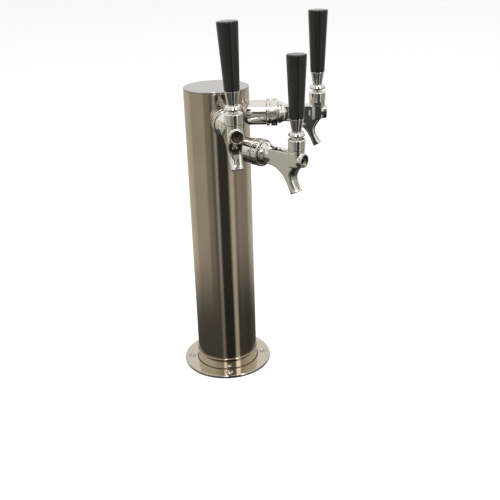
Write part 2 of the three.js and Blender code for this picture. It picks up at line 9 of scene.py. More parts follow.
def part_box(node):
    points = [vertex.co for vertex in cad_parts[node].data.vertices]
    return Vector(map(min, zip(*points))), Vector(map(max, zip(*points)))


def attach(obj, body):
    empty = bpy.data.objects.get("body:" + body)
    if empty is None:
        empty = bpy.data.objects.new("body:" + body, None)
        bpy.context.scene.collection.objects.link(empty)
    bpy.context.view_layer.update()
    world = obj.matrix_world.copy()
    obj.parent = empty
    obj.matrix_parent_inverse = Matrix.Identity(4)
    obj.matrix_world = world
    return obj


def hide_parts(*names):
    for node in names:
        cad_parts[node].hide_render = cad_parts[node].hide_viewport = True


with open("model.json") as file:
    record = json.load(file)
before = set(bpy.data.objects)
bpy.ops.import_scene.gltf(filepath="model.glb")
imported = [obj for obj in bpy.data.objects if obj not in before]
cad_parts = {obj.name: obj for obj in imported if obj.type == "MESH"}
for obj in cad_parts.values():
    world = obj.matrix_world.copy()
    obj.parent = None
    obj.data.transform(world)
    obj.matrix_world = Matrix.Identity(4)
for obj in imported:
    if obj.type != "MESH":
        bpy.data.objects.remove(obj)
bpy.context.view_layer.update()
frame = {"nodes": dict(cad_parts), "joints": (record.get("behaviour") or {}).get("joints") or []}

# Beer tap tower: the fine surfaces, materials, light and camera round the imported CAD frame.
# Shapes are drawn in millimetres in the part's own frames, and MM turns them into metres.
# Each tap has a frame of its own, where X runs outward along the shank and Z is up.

MM = 0.001
SEGMENTS = 128  # round the turned pieces
GAP = 0.3  # clearance between pieces that touch, as in the CAD
PAST = 4  # how far a cutter runs past the surface that it cuts
CRISP = 32  # degrees: an edge that turns more than this isn't shaded smooth
SIDES = ("left", "middle", "right")

# The column, base and cap.
TOWER = {"radius": 38.1, "wall": 1.5, "bottom": 4.3, "top": 358.5, "height": 361}
CAP = {"rim": 2.2, "thickness": 3.7, "spigot_wall": 1.4, "spigot_depth": 8, "edge": 1.0}
GASKET = {"inner": 35, "outer": 55.6, "top": 1.2}
FLANGE = {"inner": 35, "outer": 56.4, "bottom": 1.5, "top": 4.0, "neck": 39.7, "neck_top": 18}
SCREW = {"shank": 2.2, "head": 4.3, "rise": 1.0, "sink": 4.84, "hole": 2.62}
SCREW_COUNT = 4
SCREW_TURN = 0.35  # radians that each screw's recess is turned from the last one's
CROSS = {"reach": 2.58, "half": 0.55, "depth": 1.5, "over": 0.5}
CROSS_TAPER = (0.45, 0.7)  # the foot of a blade, as parts of its length and width
FOAM = {"inner": 30.5, "edge": 1.0}

# Stations along the shank's axis, and radii about it.
STEM_END, COLLAR_START, COLLAR_END, COUPLING_START, THREAD_END = 24, 58, 61.6, 63.2, 65.3
TAIL_START, TAIL_SHOULDER, COUPLING_END, PLATE_START = 66.9, 68.5, 70.6, 74.5
LEVER_AXIS, BOSS_START, BOSS_END = 116.5, 108, 127.5
NUT_START, NUT_END, SADDLE_START = 24.9, 30.7, 31.0
STEM_RADIUS, SLEEVE_RADIUS, COLLAR_RADIUS, THREAD_RADIUS = 11.1, 14.3, 15.6, 13.4
COUPLING_RADIUS, COUPLING_LIP, BOSS_RADIUS, VALVE_BORE = 15.7, 12.4, 7.6, 6.1
TAIL_RADIUS, TAIL_NECK = 13.3, 12.1
SHANK_BORE, SOCKET_RADIUS, SOCKET_DEPTH = 4, 4.9, 5
PIN_HOLE = {"radius": 1.5, "depth": 1.7, "over": 2, "count": 6}
NUT_CHAMFER = (0.8, 0.6)  # inward and along


# ---------------------------------------------------------------- camera

def add_camera():
    """The camera looks down on the tower from its front left."""
    azimuth, distance, height = math.radians(-46.54), 0.85527, 0.52352
    yaw, pitch, roll = math.radians(2.26), math.radians(23.40), math.radians(-1.68)
    data = bpy.data.cameras.new("camera")
    data.lens = 53.03
    data.sensor_width = 36
    data.clip_start = 0.05
    camera = bpy.data.objects.new("camera", data)
    bpy.context.scene.collection.objects.link(camera)
    place = Matrix.Translation((distance * math.sin(azimuth), -distance * math.cos(azimuth), height))
    aim = Matrix.Rotation(azimuth - yaw, 4, "Z") @ Matrix.Rotation(math.pi / 2 - pitch, 4, "X")
    camera.matrix_world = place @ aim @ Matrix.Rotation(roll, 4, "Z")
    bpy.context.scene.camera = camera
    return camera


camera = add_camera()


# ---------------------------------------------------------------- node helpers

class Nodes:
    """Short calls for building a node tree."""

    def __init__(self, tree):
        self.tree = tree
        self.tree.nodes.clear()

    def add(self, kind, inputs=None, **settings):
        node = self.tree.nodes.new(kind)
        for key, value in settings.items():
            setattr(node, key, value)
        for key, value in (inputs or {}).items():
            self.feed(node.inputs[key], value)
        return node

    def feed(self, socket, value):
        if isinstance(value, bpy.types.NodeSocket):
            self.tree.links.new(value, socket)
        else:
            socket.default_value = value

    def math(self, operation, *values, clamp=False):
        node = self.add("ShaderNodeMath", operation=operation, use_clamp=clamp)
        for socket, value in zip(node.inputs, values):
            self.feed(socket, value)
        return node.outputs[0]

    def ramp(self, factor, stops, interpolation="LINEAR"):
        """A colour ramp. Each stop is (position, colour), and a colour may be one grey number."""
        node = self.add("ShaderNodeValToRGB", {"Fac": factor})
        ramp = node.color_ramp
        ramp.interpolation = interpolation
        while len(ramp.elements) < len(stops):
            ramp.elements.new(0.5)
        for element, (position, colour) in zip(ramp.elements, stops):
            element.position = position
            element.color = (*colour, 1) if hasattr(colour, "__len__") else (colour,) * 3 + (1,)
        return node.outputs["Color"]

    def span(self, value, low, high, out_low=0.0, out_high=1.0):
        """Maps a value smoothly from one range to another."""
        node = self.add("ShaderNodeMapRange", interpolation_type="SMOOTHSTEP")
        for name, number in (("From Min", low), ("From Max", high), ("To Min", out_low),
                             ("To Max", out_high)):
            node.inputs[name].default_value = number
        self.feed(node.inputs["Value"], value)
        return node.outputs["Result"]

    def blend(self, factor, first, second):
        node = self.add("ShaderNodeMix", data_type="RGBA")
        self.feed(node.inputs["Factor"], factor)
        self.feed(node.inputs[6], (*first, 1) if isinstance(first, tuple) else first)
        self.feed(node.inputs[7], (*second, 1) if isinstance(second, tuple) else second)
        return node.outputs[2]

    def noise(self, vector, scale, detail=2.0, roughness=0.5):
        node = self.add("ShaderNodeTexNoise", {"Vector": vector, "Scale": scale,
                                               "Detail": detail, "Roughness": roughness})
        return node.outputs["Fac"]

    def stretched(self, scale):
        """The piece's own coordinates, scaled differently along each axis."""
        coordinates = self.add("ShaderNodeTexCoord").outputs["Object"]
        return self.add("ShaderNodeMapping", {"Vector": coordinates, "Scale": scale}).outputs[0]

    def round_axis(self, radial, along, around):
        """Coordinates about the piece's Z axis: radius, height and angle, each with a scale."""
        coordinates = self.add("ShaderNodeTexCoord").outputs["Object"]
        x, y, z = self.add("ShaderNodeSeparateXYZ", {"Vector": coordinates}).outputs
        flat = self.add("ShaderNodeCombineXYZ", {"X": x, "Y": y}).outputs[0]
        radius = self.add("ShaderNodeVectorMath", {0: flat}, operation="LENGTH").outputs["Value"]
        angle = self.math("ABSOLUTE", self.math("ARCTAN2", y, x))
        parts = {"X": self.math("MULTIPLY", radius, radial), "Y": self.math("MULTIPLY", z, along),
                 "Z": self.math("MULTIPLY", angle, around)}
        return self.add("ShaderNodeCombineXYZ", parts).outputs[0]

    def clear_of(self, radius, height, reach):
        """0 on a circle about the piece's Z axis, rising to 1 at a distance from it."""
        coordinates = self.add("ShaderNodeTexCoord").outputs["Object"]
        x, y, z = self.add("ShaderNodeSeparateXYZ", {"Vector": coordinates}).outputs
        away = self.math("SUBTRACT", self.math("SQRT", self.math(
            "ADD", self.math("MULTIPLY", x, x), self.math("MULTIPLY", y, y))), radius * MM)
        up = self.math("SUBTRACT", z, height * MM)
        distance = self.math("SQRT", self.math("ADD", self.math("MULTIPLY", away, away),
                                               self.math("MULTIPLY", up, up)))
        return self.span(distance, 0.35 * reach * MM, reach * MM)


# ---------------------------------------------------------------- light

WARM = (1.0, 0.97, 0.80)
NEUTRAL = (0.95, 1.0, 0.93)
PALE = (1.0, 0.985, 0.96)


def tone(brightness, tint=WARM):
    return tuple(brightness * part for part in tint)


def turn(degrees):
    """A direction round the tower as a ramp position: 0.5 is towards the camera."""
    return 0.5 + degrees / 360


# The room that the polished metal mirrors, going round from behind the camera's left.
ROOM = [
    (-180, tone(0.60)), (-112, tone(0.58)), (-104, tone(0.43)), (-51, tone(0.43)),
    (-46, tone(0.27)), (-28, tone(0.23)), (-24, tone(0.12)), (-17, tone(0.17, NEUTRAL)),
    (-14, tone(0.42, NEUTRAL)), (-8, tone(0.36, NEUTRAL)), (-4, tone(0.045, NEUTRAL)),
    (28, tone(0.045, NEUTRAL)), (34, tone(0.40)), (39, tone(0.62)), (48, tone(0.54)),
    (53, tone(0.25)), (61, tone(0.25)), (66, tone(0.34)), (76, tone(0.30)), (108, tone(0.30)),
    (122, tone(0.56, NEUTRAL)), (180, tone(0.60)),
]
# The edge of the dark worktop, which the foot of the column mirrors.
WORKTOP_EDGE = [
    (-180, tone(0.09)), (-60, tone(0.075, NEUTRAL)), (-20, tone(0.08)), (-14, tone(0.24)),
    (-7, tone(0.18)), (-3, tone(0.028, NEUTRAL)), (30, tone(0.028, NEUTRAL)),
    (38, tone(0.52)), (46, tone(0.46)), (52, tone(0.05)), (64, tone(0.065, NEUTRAL)),
    (100, tone(0.05, NEUTRAL)), (130, tone(0.09)), (180, tone(0.09)),
]
# The walls and windows just above the horizon.
WALLS = [
    (-180, tone(0.83, PALE)), (-120, tone(0.80, PALE)), (-100, tone(0.50)),
    (-60, tone(0.95, PALE)), (-30, tone(0.42)), (-12, tone(0.10)), (10, tone(0.09)),
    (30, tone(0.85, PALE)), (60, tone(1.15, PALE)), (80, tone(0.40)), (115, tone(0.50)),
    (140, tone(0.83, PALE)), (180, tone(0.83, PALE)),
]
# The lamps and the ceiling over the room, which the upward faces mirror.
OVERHEAD = [
    (-180, tone(0.88, PALE)), (-60, tone(0.88, PALE)), (-30, tone(0.60)), (-17, tone(0.50)),
    (-14, tone(1.9, PALE)), (-7, tone(1.9, PALE)), (-4, tone(0.20)), (28, tone(0.20)),
    (33, tone(2.0, PALE)), (45, tone(2.0, PALE)), (50, tone(0.60)), (80, tone(0.80, PALE)),
    (130, tone(0.88, PALE)), (180, tone(0.88, PALE)),
]
# How far down the worktop's edge is moved, as a part of EDGE_DROP degrees.
EDGE_SHIFT = [(-180, 0.0), (30, 0.0), (60, 1.0), (120, 1.0), (160, 0.0), (180, 0.0)]
EDGE_DROP = 0.8
# The elevations in degrees over which each part of the surround blends into the next one up.
UNDER_WORKTOP, WORKTOP_LINE, HORIZON = (-60, -36), (-29.3, -22.5), (-7, 4)
LAMP_LINE, CEILING_LINE = (14, 26), (44, 62)
UNDERSIDE = tone(0.012, NEUTRAL)
CEILING = tone(0.92, (1.0, 0.97, 0.93))
BACKDROP = (0.93, 0.93, 0.92)  # what the camera sees behind the floor
# Each lamp's name, place and size in metres, power in watts, and if polished metal mirrors it.
LAMPS = [
    ("key", (-1.1, -0.5, 1.5), (1.2, 1.0), 12, False),
    ("fill", (0.8, -1.3, 1.2), (1.2, 0.8), 7, False),
    ("left_glint", (-1.22, -0.87, 1.9), (0.3, 0.3), 7.0, True),
    ("right_glint", (-0.04, -1.5, 1.9), (0.3, 0.3), 7.0, True),
]
LAMP_AIM = (0, 0, 0.25)
FLOOR_REACH = 12


def light_room():
    """A soft studio surround: pale above, banded round the horizon and dark below the worktop."""
    world = bpy.data.worlds.new("studio")
    bpy.context.scene.world = world
    world.use_nodes = True
    nodes = Nodes(world.node_tree)
    to_camera = math.atan2(camera.location.y, camera.location.x)
    direction = nodes.add("ShaderNodeTexCoord").outputs["Generated"]
    turned = nodes.add("ShaderNodeMapping", {"Vector": direction, "Rotation": (0, 0, -to_camera)})
    x, y, z = nodes.add("ShaderNodeSeparateXYZ", {"Vector": turned.outputs[0]}).outputs
    azimuth = nodes.math("ARCTAN2", y, x)
    round_room = nodes.math("ADD", nodes.math("DIVIDE", azimuth, 2 * math.pi), 0.5)
    elevation = nodes.math("DEGREES", nodes.math("ARCSINE", z))
    bands = [nodes.ramp(round_room, [(turn(at), colour) for at, colour in strip])
             for strip in (WORKTOP_EDGE, ROOM, WALLS, OVERHEAD)]
    worktop, room, walls, overhead = bands
    shift = nodes.ramp(round_room, [(turn(at), part) for at, part in EDGE_SHIFT])
    edge = nodes.math("SUBTRACT", elevation, nodes.math("MULTIPLY", shift, EDGE_DROP))
    low = nodes.blend(nodes.span(edge, *WORKTOP_LINE), worktop, room)
    below = nodes.blend(nodes.span(elevation, *UNDER_WORKTOP), UNDERSIDE, low)
    upper = nodes.blend(nodes.span(elevation, *HORIZON), below, walls)
    lamps = nodes.blend(nodes.span(elevation, *LAMP_LINE), upper, overhead)
    ceiling = nodes.blend(nodes.span(elevation, *CEILING_LINE), lamps, CEILING)
    seen = nodes.add("ShaderNodeLightPath").outputs["Is Camera Ray"]
    shade = nodes.blend(seen, ceiling, BACKDROP)
    surround = nodes.add("ShaderNodeBackground", {"Color": shade, "Strength": 1.0})
    nodes.add("ShaderNodeOutputWorld", {"Surface": surround.outputs[0]})


def add_area(name, place, size, watts, mirrored):
    """A lamp aimed at the tower. A large one isn't seen in the polished metal."""
    data = bpy.data.lights.new(name, "AREA")
    data.shape = "RECTANGLE"
    data.size, data.size_y = size
    data.energy = watts
    lamp = bpy.data.objects.new(name, data)
    lamp.location = place
    aim = Vector(LAMP_AIM) - Vector(place)
    lamp.rotation_euler = aim.to_track_quat("-Z", "Y").to_euler()
    lamp.visible_glossy = mirrored
    bpy.context.scene.collection.objects.link(lamp)


def add_floor():
    """The plain pale floor. Polished metal sees past it, into the dark worktop of the room."""
    mesh = bpy.data.meshes.new("floor")
    reach = FLOOR_REACH
    corners = [(-reach, -reach, 0), (reach, -reach, 0), (reach, reach, 0), (-reach, reach, 0)]
    mesh.from_pydata(corners, [], [(0, 1, 2, 3)])
    floor = bpy.data.objects.new("floor", mesh)
    bpy.context.scene.collection.objects.link(floor)
    material = bpy.data.materials.new("floor_paper")
    material.use_nodes = True
    nodes = Nodes(material.node_tree)
    paper = nodes.add("ShaderNodeBsdfDiffuse", {"Color": (0.92, 0.94, 0.97, 1)})
    glow = nodes.add("ShaderNodeEmission", {"Color": (0.93, 0.96, 1.0, 1), "Strength": 0.16})
    shade = nodes.add("ShaderNodeAddShader", {0: paper.outputs[0], 1: glow.outputs[0]})
    nodes.add("ShaderNodeOutputMaterial", {"Surface": shade.outputs[0]})
    mesh.materials.append(material)
    floor.visible_glossy = False


bpy.context.scene.view_settings.view_transform = "Standard"
light_room()
for lamp_settings in LAMPS:
    add_area(*lamp_settings)
add_floor()


# ---------------------------------------------------------------- materials

METAL_CLOUDS, MOULDED_CLOUDS, HANDLING = 28, 60, 75  # noise scales, per metre
# The painted shade in a round inner corner: how dark its colour gets (tint), and how much duller the
# surface gets there (dulling).
CREASE_SHADE_AND_DULLING = {"tint": 0.10, "dulling": 0.4}


def metal(name, colour, smooth, rough, grain, bump, marks=0.0, darker=0.88, crease=None):
    """Polished metal. grain(nodes) gives the coordinates of its fine polishing lines. A crease is
    the [radius, height] of a round inner corner, darkened as painted shade and dulled, and its
    reach."""
    material = bpy.data.materials.new(name)
    material.use_nodes = True
    nodes = Nodes(material.node_tree)
    lines = nodes.noise(grain(nodes), 1.0, 4.0, 0.65)
    coordinates = nodes.add("ShaderNodeTexCoord").outputs["Object"]
    cloud = nodes.noise(coordinates, METAL_CLOUDS, 3.0)
    handled = nodes.span(nodes.noise(coordinates, HANDLING, 4.0), 0.52, 0.75, 0.0, marks)
    grey = nodes.math("MULTIPLY", nodes.math("ADD", lines, cloud), 0.5)
    tint = nodes.blend(nodes.span(grey, 0.3, 0.7), tuple(part * darker for part in colour), colour)
    gloss = nodes.math("ADD", nodes.span(lines, 0.25, 0.75, smooth, rough), handled)
    # Painted shade: the colour darkens towards the crease, where shade falls in the corner. The
    # surface is also rougher there.
    if crease:
        away_from_crease = nodes.clear_of(*crease)
        tint = nodes.blend(away_from_crease, tuple(part * CREASE_SHADE_AND_DULLING["tint"] for part in colour), tint)
        gloss = nodes.math("ADD", gloss, nodes.span(away_from_crease, 0.0, 1.0, CREASE_SHADE_AND_DULLING["dulling"], 0.0))
    relief = nodes.add("ShaderNodeBump", {"Height": lines, "Distance": bump * MM, "Strength": 1.0})
    shader = nodes.add("ShaderNodeBsdfPrincipled", {"Base Color": tint, "Metallic": 1.0,
                                                    "Roughness": gloss,
                                                    "Normal": relief.outputs[0]})
    nodes.add("ShaderNodeOutputMaterial", {"Surface": shader.outputs[0]})
    return material


def moulded(name, colour, smooth, rough, scale, bump, fleck=0.6, specular=0.5):
    """Plastic, rubber, nylon or foam: a fine skin texture with slight changes of shade."""
    material = bpy.data.materials.new(name)
    material.use_nodes = True
    nodes = Nodes(material.node_tree)
    coordinates = nodes.add("ShaderNodeTexCoord").outputs["Object"]
    skin = nodes.noise(coordinates, scale, 3.0, 0.6)
    cloud = nodes.noise(coordinates, MOULDED_CLOUDS, 2.0)
    tint = nodes.blend(cloud, tuple(part * fleck for part in colour), colour)
    gloss = nodes.span(nodes.math("MULTIPLY", nodes.math("ADD", skin, cloud), 0.5), 0.3, 0.7,
                       smooth, rough)
    relief = nodes.add("ShaderNodeBump", {"Height": skin, "Distance": bump * MM, "Strength": 1.0})
    shader = nodes.add("ShaderNodeBsdfPrincipled", {"Base Color": tint, "Roughness": gloss,
                                                    "Specular IOR Level": specular,
                                                    "Normal": relief.outputs[0]})
    nodes.add("ShaderNodeOutputMaterial", {"Surface": shader.outputs[0]})
    return material


CAP_FINISH = metal("cap_finish", (0.555, 0.555, 0.535), 0.10, 0.17,
                   lambda nodes: nodes.round_axis(1600, 1600, 4), 0.0015, 0.05, 0.92)
LOOKS = {
    "column_steel": metal("column_steel", (0.63, 0.535, 0.445), 0.07, 0.12,
                          lambda nodes: nodes.stretched((900, 900, 9)), 0.0012, 0.05, 0.9),
    # The flange's colour darkens in the corner at the foot of its neck: painted shade.
    "polished_flange_steel": metal("polished_flange_steel", (0.66, 0.595, 0.49), 0.05, 0.10,
                                   lambda nodes: nodes.round_axis(1400, 1400, 3), 0.0012, 0.04,
                                   crease=(FLANGE["neck"], FLANGE["top"], 1.3)),
    "chrome_plate": metal("chrome_plate", (0.86, 0.84, 0.81), 0.025, 0.05,
                          lambda nodes: nodes.stretched((260, 260, 260)), 0.0025, 0.03, 0.95),
    "fastener_steel": metal("fastener_steel", (0.58, 0.57, 0.55), 0.20, 0.34,
                            lambda nodes: nodes.round_axis(2600, 2600, 5), 0.004, 0.08),
    # The plunger's colour is kept dark so that the inside of the boss's bore, where its end shows,
    # reads dark: painted shade. The shank nut shares this look.
    "shaft_brass": metal("shaft_brass", (0.27, 0.235, 0.185), 0.12, 0.24,
                         lambda nodes: nodes.round_axis(2200, 2200, 5), 0.004, 0.08),
    "handle_plastic": moulded("handle_plastic", (0.012, 0.012, 0.012), 0.10, 0.17, 900, 0.004),
    "gasket_rubber": moulded("gasket_rubber", (0.014, 0.014, 0.014), 0.55, 0.75, 1800, 0.03),
    "washer_nylon": moulded("washer_nylon", (0.78, 0.76, 0.70), 0.35, 0.5, 1200, 0.01, 0.92),
    "insulation_foam": moulded("insulation_foam", (0.07, 0.07, 0.07), 0.85, 0.98, 420, 0.5),
}


# ---------------------------------------------------------------- shape helpers

def curve(points, steps=8):
    """A smooth line through the points."""
    ends = [points[0], *points, points[-1]]
    line = []
    for a, b, c, d in zip(ends, ends[1:], ends[2:], ends[3:]):
        a, b, c, d = (np.array(point, float) for point in (a, b, c, d))
        for i in range(steps):
            t = i / steps
            line.append(tuple(0.5 * (2 * b + (c - a) * t + (2 * a - 5 * b + 4 * c - d) * t ** 2
                                     + (3 * b - a - 3 * c + d) * t ** 3)))
    return [*line, points[-1]]


def fillet(before, here, after, radius, steps=5, straight=176):
    """The points that round one corner of an outline. One over straight degrees stays as it is."""
    back, ahead = before - here, after - here
    opening = back.angle(ahead)
    if opening > math.radians(straight):
        return [here]
    reach = min(radius / math.tan(opening / 2), 0.45 * min(back.length, ahead.length))
    bisector = (back.normalized() + ahead.normalized()).normalized()
    centre = here + bisector * reach / math.cos(opening / 2)
    first = here + back.normalized() * reach - centre
    last = here + ahead.normalized() * reach - centre
    sweep = math.pi - opening
    weights = [i / steps for i in range(steps + 1)]
    return [centre + (first * math.sin((1 - t) * sweep) + last * math.sin(t * sweep))
            / math.sin(sweep) for t in weights]


def rounded(outline, radius):
    """An outline with its corners rounded. A corner may carry its own radius as a third number.
    It closes on itself unless it starts on the axis."""
    closed = outline[0][0] > 0
    places = [Vector(corner[:2]) for corner in outline]
    points = []
    for i, here in enumerate(places):
        own = outline[i][2] if len(outline[i]) > 2 else radius
        if not closed and i in (0, len(places) - 1):
            points.append(here)
        else:
            points += fillet(places[i - 1], here, places[(i + 1) % len(places)], own)
    return points


def make_mesh(name, points, faces):
    mesh = bpy.data.meshes.new(name)
    mesh.from_pydata([tuple(point) for point in points], [], faces)
    mesh.validate()
    return smooth(mesh)


def smooth(mesh):
    mesh.polygons.foreach_set("use_smooth", [True] * len(mesh.polygons))
    mesh.set_sharp_from_angle(angle=math.radians(CRISP))
    mesh.update()
    return mesh


def turned(name, outline, radius=0.25, segments=SEGMENTS, bend=None):
    """A surface of revolution about Z from an outline of [radius, height] in millimetres.
    bend(radius, height, angle) may move a point along the axis."""
    profile = rounded(outline, radius)
    points, rings = [], []
    for r, z in profile:
        count = 1 if r < 1e-6 else segments
        rings.append((len(points), count))
        for i in range(count):
            angle = 2 * math.pi * i / segments
            height = bend(r, z, angle) if bend else z
            points.append((r * math.cos(angle) * MM, r * math.sin(angle) * MM, height * MM))
    pairs = list(zip(rings, rings[1:]))
    if outline[0][0] > 0:
        pairs.append((rings[-1], rings[0]))
    faces = []
    for (low, low_count), (high, high_count) in pairs:
        for i in range(segments):
            j = (i + 1) % segments
            face = [low + i % low_count, low + j % low_count, high + j % high_count,
                    high + i % high_count]
            faces.append(tuple(dict.fromkeys(face)))
    return make_mesh(name, points, faces)


def box_mesh(low, high):
    """A box between two corners, in millimetres, for cutting with."""
    corners = [(x * MM, y * MM, z * MM) for x in (low[0], high[0]) for y in (low[1], high[1])
               for z in (low[2], high[2])]
    faces = [(0, 1, 3, 2), (4, 6, 7, 5), (0, 4, 5, 1), (2, 3, 7, 6), (0, 2, 6, 4), (1, 5, 7, 3)]
    return make_mesh("box", corners, faces)


def rod(radius, low, high, segments=32):
    return turned("rod", [(0, low), (radius, low, 0), (radius, high, 0), (0, high)], 0, segments)


def moved(mesh, matrix):
    mesh.transform(matrix)
    return mesh


def shifted(mesh, x, y, z):
    return moved(mesh, Matrix.Translation((x * MM, y * MM, z * MM)))


def carved(mesh, cutters):
    """The mesh less the cutters."""
    scene = bpy.context.scene.collection
    work = bpy.data.objects.new("work", mesh)
    scene.objects.link(work)
    tools = []
    for cutter in cutters:
        tool = bpy.data.objects.new("tool", cutter)
        scene.objects.link(tool)
        tools.append(tool)
        modifier = work.modifiers.new("cut", "BOOLEAN")
        modifier.solver = "EXACT"
        modifier.object = tool
    graph = bpy.context.evaluated_depsgraph_get()
    result = bpy.data.meshes.new_from_object(work.evaluated_get(graph), depsgraph=graph)
    for item in [work, *tools]:
        bpy.data.objects.remove(item)
    result.materials.clear()
    return smooth(result)


ALONG_X = Matrix.Rotation(math.pi / 2, 4, "Y")


def add_piece(node, mesh, slot, body, matrix=Matrix.Identity(4), look=None):
    """Shows a fine mesh in place of a CAD node."""
    piece = bpy.data.objects.new(f"{node}_fine", mesh)
    bpy.context.scene.collection.objects.link(piece)
    piece.matrix_world = matrix
    if not mesh.materials:
        mesh.materials.append(look or LOOKS[slot])
    even = piece.modifiers.new("even_shading", "WEIGHTED_NORMAL")
    even.keep_sharp = True
    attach(piece, body)
    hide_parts(node)
    return piece


# ---------------------------------------------------------------- base and column

def tap_frame(side):
    """A tap's frame, from where its coupling nut is."""
    low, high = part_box(f"coupling_nut_{side}")
    middle = (low + high) / 2
    heading = Matrix.Rotation(math.atan2(middle.y, middle.x), 4, "Z")
    return Matrix.Translation((0, 0, middle.z)) @ heading


TAP_FRAMES = {side: tap_frame(side) for side in SIDES}


def screw_places():
    """(number, x, y) of each flange screw's axis."""
    for i in range(1, SCREW_COUNT + 1):
        low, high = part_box(f"flange_screw_{i}")
        yield i, (low.x + high.x) / 2 / MM, (low.y + high.y) / 2 / MM


def add_base():
    gasket = turned("base_gasket", [(GASKET["inner"], 0), (GASKET["outer"], 0),
                                    (GASKET["outer"], GASKET["top"]),
                                    (GASKET["inner"], GASKET["top"])])
    holes = [shifted(rod(SCREW["hole"], -PAST, PAST), x, y, 0) for _, x, y in screw_places()]
    add_piece("base_gasket", carved(gasket, holes), "gasket_rubber", "tower")
    bore = TOWER["radius"] + GAP
    inner, outer, bottom, top, neck, neck_top = FLANGE.values()
    ring = turned("base_flange", [
        (inner, bottom), (outer, bottom, 0.5), (outer, top, 1.1), (neck, top, 0.4),
        (neck, neck_top, 0.62), (bore, neck_top, 0.62), (bore, top), (inner, top)],
        segments=192)
    sink_bottom = top - (SCREW["sink"] - SCREW["hole"])
    over = 0.6
    cone = [(0, -PAST), (SCREW["hole"], -PAST), (SCREW["hole"], sink_bottom),
            (SCREW["sink"], top), (SCREW["sink"] + over, top + over), (0, top + over)]
    sinks = [shifted(turned("sink", cone, 0.05, 48), x, y, 0) for _, x, y in screw_places()]
    add_piece("base_flange", carved(ring, sinks), "polished_flange_steel", "tower")


def cross_recess(crown):
    """Two tapered blades crossing each other, for cutting the drive in a screw's crown."""
    reach, half = CROSS["reach"], CROSS["half"]
    bottom, top = crown - CROSS["depth"], crown + CROSS["over"]
    blades = []
    for angle in (0, math.pi / 2):
        blade = box_mesh((-reach, -half, bottom), (reach, half, top))
        for vertex in blade.vertices:
            if vertex.co.z < (bottom + top) / 2 * MM:
                vertex.co.x *= CROSS_TAPER[0]
                vertex.co.y *= CROSS_TAPER[1]
        blades.append(moved(blade, Matrix.Rotation(angle, 4, "Z")))
    return blades


def add_screws():
    shank, head, rise = SCREW["shank"], SCREW["head"], SCREW["rise"]
    top = FLANGE["top"]
    crown = top + rise
    dome = [(head * math.cos(a), top + rise * math.sin(a))
            for a in np.linspace(0, math.pi / 2, 12)[:-1]]
    outline = [(0, GAP), (shank, GAP, 0.3), (shank, top - head + shank), *dome, (0, crown)]
    for i, x, y in screw_places():
        mesh = carved(turned("screw", outline, 0.1, 48), cross_recess(crown))
        spin = Matrix.Rotation(SCREW_TURN * i, 4, "Z")
        place = Matrix.Translation((x * MM, y * MM, 0)) @ spin
        add_piece(f"flange_screw_{i}", mesh, "fastener_steel", "tower", place)


def add_column():
    """The tube, its cap and the foam in it. The tube has rings of points all the way up."""
    inner = TOWER["radius"] - TOWER["wall"]
    rings = np.linspace(TOWER["bottom"], TOWER["top"], 46)[1:-1]
    outline = [(inner, TOWER["bottom"]), (TOWER["radius"], TOWER["bottom"], 0.3),
               *[(TOWER["radius"], z) for z in rings], (TOWER["radius"], TOWER["top"], 0.45),
               (inner, TOWER["top"]), *[(inner, z) for z in rings[::-1]]]
    holes = []
    for side in SIDES:
        hole = rod(STEM_RADIUS + GAP, STEM_END, TOWER["radius"] + PAST, 48)
        holes.append(moved(hole, TAP_FRAMES[side] @ ALONG_X))
    tube = carved(turned("column", outline, 0.2, 192), holes)
    add_piece("column", tube, "column_steel", "tower")
    spigot = inner - GAP
    seat = TOWER["top"] + GAP
    under = TOWER["height"] - CAP["thickness"]
    cap = turned("top_cap", [
        (0, under), (spigot - CAP["spigot_wall"], under),
        (spigot - CAP["spigot_wall"], TOWER["top"] - CAP["spigot_depth"]),
        (spigot, TOWER["top"] - CAP["spigot_depth"]), (spigot, seat, 0.1),
        (TOWER["radius"], seat, 0.35), (TOWER["radius"], TOWER["height"], CAP["edge"]),
        (0, TOWER["height"])], segments=192)
    add_piece("top_cap", cap, "column_steel", "tower", look=CAP_FINISH)
    low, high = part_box("insulation_sleeve")
    bottom, top = low.z / MM, high.z / MM
    foam = turned("foam", [(FOAM["inner"], bottom), (spigot, bottom), (spigot, top),
                           (FOAM["inner"], top)], FOAM["edge"])
    add_piece("insulation_sleeve", foam, "insulation_foam", "tower")


# ---------------------------------------------------------------- shank

def saddle(radius):
    """Bends the end of a tube to a cylinder on the column's axis."""
    def height(r, z, angle):
        across = r * math.sin(angle)
        return math.sqrt(radius ** 2 - across ** 2) if z < radius else z
    return height


def spanner_holes(radius, station):
    """Small radial holes for a pin spanner."""
    for i in range(PIN_HOLE["count"]):
        hole = rod(PIN_HOLE["radius"], radius - PIN_HOLE["depth"], radius + PIN_HOLE["over"], 20)
        angle = 2 * math.pi * (i + 0.25) / PIN_HOLE["count"]
        matrix = Matrix.Rotation(angle, 4, "Z") @ ALONG_X
        yield shifted(moved(hole, matrix), 0, 0, station)


def sleeve_mesh():
    """The tube from the column out to the collar. Its inner end is bent to meet the column."""
    start, end, bore = TOWER["radius"] - PAST, COLLAR_START - GAP, STEM_RADIUS + GAP
    outline = [(bore, start, 0), (SLEEVE_RADIUS, start, 0), (SLEEVE_RADIUS, end, 0.6),
               (bore, end)]
    return turned("shank_sleeve", outline, bend=saddle(TOWER["radius"] + GAP))


def shank_mesh():
    socket_end = STEM_END + SOCKET_DEPTH + GAP
    mesh = turned("shank", [
        (SOCKET_RADIUS, STEM_END), (STEM_RADIUS, STEM_END, 0.5), (STEM_RADIUS, COLLAR_START),
        (COLLAR_RADIUS, COLLAR_START, 0.8), (COLLAR_RADIUS, COLLAR_END, 0.8),
        (THREAD_RADIUS, COLLAR_END), (THREAD_RADIUS, THREAD_END), (SHANK_BORE, THREAD_END),
        (SHANK_BORE, socket_end), (SOCKET_RADIUS, socket_end)])
    middle = (COLLAR_START + COLLAR_END) / 2
    return carved(mesh, spanner_holes(COLLAR_RADIUS, middle))


